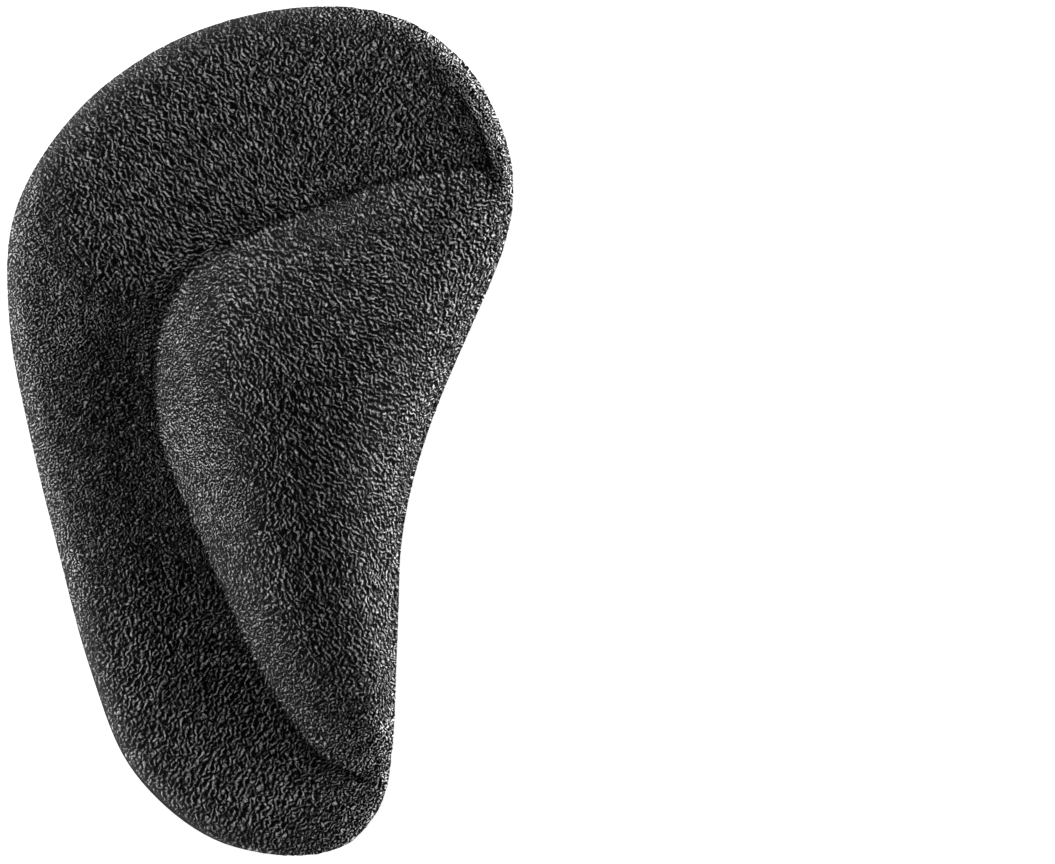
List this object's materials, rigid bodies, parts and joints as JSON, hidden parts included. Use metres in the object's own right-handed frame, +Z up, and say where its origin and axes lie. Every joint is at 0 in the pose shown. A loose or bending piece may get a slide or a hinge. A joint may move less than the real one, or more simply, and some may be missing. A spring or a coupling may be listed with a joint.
{
  "type": "arch support insole",
  "caption": "Short shoe pad for a left foot: a thin floor with a rounded edge and a raised arch pillow along the inner side, in short-pile fabric over moulded foam.",
  "frame": {"origin": "middle of the sole's outline box, on the flat sole", "axes": "+Y towards the toes along the length, +X towards the inner (medial) side where the arch stands, +Z up through the thickness"},
  "size_m": [0.0804, 0.1348, 0.018],
  "materials": {
    "cover_fabric": "black short-pile velour",
    "body_foam": "matte moulded foam"
  },
  "bodies": {
    "root": {"top_cover": "cover_fabric", "foam_body": "body_foam"}
  },
  "joints": []
}
